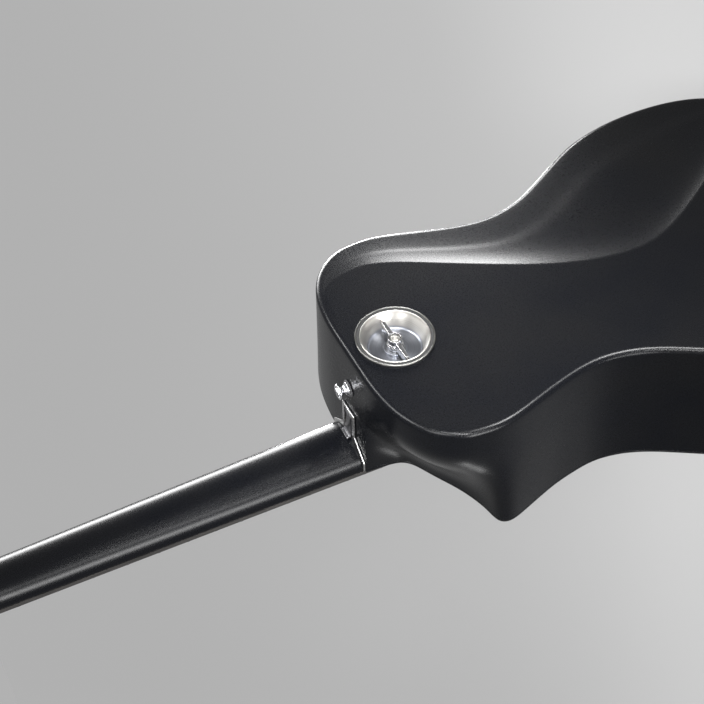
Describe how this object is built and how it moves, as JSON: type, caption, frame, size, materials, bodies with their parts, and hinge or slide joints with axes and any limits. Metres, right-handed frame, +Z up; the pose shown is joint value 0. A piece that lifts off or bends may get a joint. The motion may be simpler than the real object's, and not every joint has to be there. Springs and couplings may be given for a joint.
{
  "type": "guitar",
  "caption": "Acoustic travel guitar with a moulded black carbon body, arm bevel, carved cutaway, and a neck that a winged key in a steel cup in the back locks on.",
  "frame": {"origin": "on the centre plane, in the plane of the neck's front face, at the height where a wall hanger's yoke carries the headstock", "axes": "+Z up the neck to the headstock, +X to the treble side, +Y out of the back; the strings face -Y"},
  "size_m": [0.3556, 0.1347, 1.0201],
  "materials": {
    "satin_carbon": "satin black moulded carbon fibre and resin",
    "black_composite": "matt black paper and resin composite",
    "block_wood": "bare",
    "polished_steel": "spun and polished stainless steel",
    "brushed_steel": "brushed",
    "spring_steel": "drawn wire",
    "brass": "turned",
    "bronze_wire": "wound bronze",
    "chrome": "bright",
    "white_bone": "polished",
    "black_pin": "gloss",
    "black_rubber": "matt",
    "black_felt": "felt"
  },
  "bodies": {
    "neck": {"neck": "satin_carbon", "neck_tenon": "brushed_steel", "threaded_insert": "brass", "fretboard": "black_composite", "nut": "white_bone", "truss_rod": "brushed_steel", "truss_cover": "black_composite", "tuner_housing_1": "chrome", "tuner_housing_2": "chrome", "tuner_housing_3": "chrome", "tuner_housing_4": "chrome", "tuner_housing_5": "chrome", "tuner_housing_6": "chrome", "string_1": "bronze_wire", "string_2": "bronze_wire", "string_3": "bronze_wire", "string_4": "bronze_wire", "string_5": "spring_steel", "string_6": "spring_steel"},
    "body": {"body_shell": "satin_carbon", "soundboard": "satin_carbon", "soundhole_ring": "black_composite", "x_brace": "black_composite", "bridge_plate": "black_composite", "neck_block": "block_wood", "tail_block": "block_wood", "key_cup": "polished_steel", "cup_gasket": "black_rubber", "heel_plate": "brushed_steel", "latch_pin": "brushed_steel", "latch_spring": "spring_steel", "strap_button": "chrome", "strap_felt": "black_felt", "tail_button": "chrome", "tail_felt": "black_felt", "bridge": "black_composite", "saddle": "white_bone", "bridge_pin_1": "black_pin", "bridge_pin_2": "black_pin", "bridge_pin_3": "black_pin", "bridge_pin_4": "black_pin", "bridge_pin_5": "black_pin", "bridge_pin_6": "black_pin"},
    "washer": {"thrust_washer": "polished_steel"},
    "key": {"lock_bolt": "polished_steel", "lock_key": "polished_steel", "key_screw": "polished_steel"},
    "latch": {"latch_lever": "brushed_steel"},
    "post_1": {"tuner_post_1": "chrome"},
    "knob_1": {"tuner_knob_1": "chrome"},
    "post_2": {"tuner_post_2": "chrome"},
    "knob_2": {"tuner_knob_2": "chrome"},
    "post_3": {"tuner_post_3": "chrome"},
    "knob_3": {"tuner_knob_3": "chrome"},
    "post_4": {"tuner_post_4": "chrome"},
    "knob_4": {"tuner_knob_4": "chrome"},
    "post_5": {"tuner_post_5": "chrome"},
    "knob_5": {"tuner_knob_5": "chrome"},
    "post_6": {"tuner_post_6": "chrome"},
    "knob_6": {"tuner_knob_6": "chrome"}
  },
  "joints": [
    {"name": "body_slide", "type": "slide", "parent": "neck", "child": "body", "axis": [0, 1, 0], "range_m": [0, 0.03]},
    {"name": "bolt_travel", "type": "slide", "parent": "body", "child": "washer", "axis": [0, 1, 0], "range_m": [0, 0.009]},
    {"name": "key_turn", "type": "hinge", "parent": "washer", "child": "key", "pos_m": [0, 0.12, -0.40593], "axis": [0, 1, 0], "range_deg": [0, 2161]},
    {"name": "latch_hinge", "type": "hinge", "parent": "body", "child": "latch", "pos_m": [0, 0.04, -0.36823], "axis": [-1, 0, 0], "range_deg": [0, 12], "stiffness_Nm_per_rad": 0.03, "springref_deg": -17.19, "deforming": ["latch_spring"]},
    {"name": "knob_turn_1", "type": "hinge", "parent": "neck", "child": "knob_1", "pos_m": [-0.02, 0.03043, 0.02203], "axis": [-1, 0, 0], "range_deg": [-1440, 1440]},
    {"name": "post_turn_1", "type": "hinge", "parent": "neck", "child": "post_1", "pos_m": [-0.02, 0.009, 0.02697], "axis": [0, -0.9744, 0.225], "range_deg": [-97, 97]},
    {"name": "knob_turn_2", "type": "hinge", "parent": "neck", "child": "knob_2", "pos_m": [-0.02, 0.03898, 0.05905], "axis": [-1, 0, 0], "range_deg": [-1440, 1440]},
    {"name": "post_turn_2", "type": "hinge", "parent": "neck", "child": "post_2", "pos_m": [-0.02, 0.01755, 0.064], "axis": [0, -0.9744, 0.225], "range_deg": [-97, 97]},
    {"name": "knob_turn_3", "type": "hinge", "parent": "neck", "child": "knob_3", "pos_m": [-0.02, 0.04753, 0.09608], "axis": [-1, 0, 0], "range_deg": [-1440, 1440]},
    {"name": "post_turn_3", "type": "hinge", "parent": "neck", "child": "post_3", "pos_m": [-0.02, 0.02609, 0.10103], "axis": [0, -0.9744, 0.225], "range_deg": [-97, 97]},
    {"name": "knob_turn_4", "type": "hinge", "parent": "neck", "child": "knob_4", "pos_m": [0.02, 0.04753, 0.09608], "axis": [1, 0, 0], "range_deg": [-1440, 1440]},
    {"name": "post_turn_4", "type": "hinge", "parent": "neck", "child": "post_4", "pos_m": [0.02, 0.02609, 0.10103], "axis": [0, -0.9744, 0.225], "range_deg": [-97, 97]},
    {"name": "knob_turn_5", "type": "hinge", "parent": "neck", "child": "knob_5", "pos_m": [0.02, 0.03898, 0.05905], "axis": [1, 0, 0], "range_deg": [-1440, 1440]},
    {"name": "post_turn_5", "type": "hinge", "parent": "neck", "child": "post_5", "pos_m": [0.02, 0.01755, 0.064], "axis": [0, -0.9744, 0.225], "range_deg": [-97, 97]},
    {"name": "knob_turn_6", "type": "hinge", "parent": "neck", "child": "knob_6", "pos_m": [0.02, 0.03043, 0.02203], "axis": [1, 0, 0], "range_deg": [-1440, 1440]},
    {"name": "post_turn_6", "type": "hinge", "parent": "neck", "child": "post_6", "pos_m": [0.02, 0.009, 0.02697], "axis": [0, -0.9744, 0.225], "range_deg": [-97, 97]}
  ],
  "couplings": [
    {"joint": "key_turn", "follows": "bolt_travel", "rad_per_m": 4188.8},
    {"joint": "post_turn_1", "follows": "knob_turn_1", "ratio": 0.066667},
    {"joint": "post_turn_2", "follows": "knob_turn_2", "ratio": 0.066667},
    {"joint": "post_turn_3", "follows": "knob_turn_3", "ratio": 0.066667},
    {"joint": "post_turn_4", "follows": "knob_turn_4", "ratio": 0.066667},
    {"joint": "post_turn_5", "follows": "knob_turn_5", "ratio": 0.066667},
    {"joint": "post_turn_6", "follows": "knob_turn_6", "ratio": 0.066667}
  ]
}
